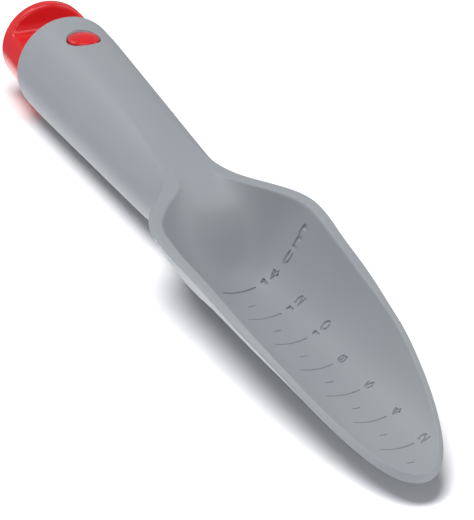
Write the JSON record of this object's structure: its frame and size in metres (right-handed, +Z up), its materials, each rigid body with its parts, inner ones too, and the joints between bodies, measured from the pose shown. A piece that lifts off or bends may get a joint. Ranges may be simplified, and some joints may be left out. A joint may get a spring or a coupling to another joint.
{
  "type": "hand trowel",
  "caption": "Moulded hand trowel with an engraved depth scale, a hollow round handle and a push-button end plug.",
  "frame": {"origin": "on the ground plane, under the middle of the whole length", "axes": "+X along the tool towards the tip of the scoop, +Y to the side, +Z up out of the open scoop"},
  "size_m": [0.3019, 0.0526, 0.0324],
  "materials": {
    "grey_plastic": "satin moulded polypropylene",
    "red_plastic": "glossy moulded plastic"
  },
  "bodies": {
    "body": {"trowel_body": "grey_plastic"},
    "plug": {"end_plug": "red_plastic"},
    "catch": {"catch_button": "red_plastic"}
  },
  "joints": [
    {"name": "plug_pull", "type": "slide", "parent": "body", "child": "plug", "axis": [-1, 0, 0], "range_m": [0, 0.062], "deforming": ["catch_button"]},
    {"name": "button_press", "type": "hinge", "parent": "plug", "child": "catch", "pos_m": [-0.0749, 0, 0.02749], "axis": [0, -1, 0], "range_deg": [0, 5.4], "stiffness_Nm_per_rad": 1.5}
  ]
}
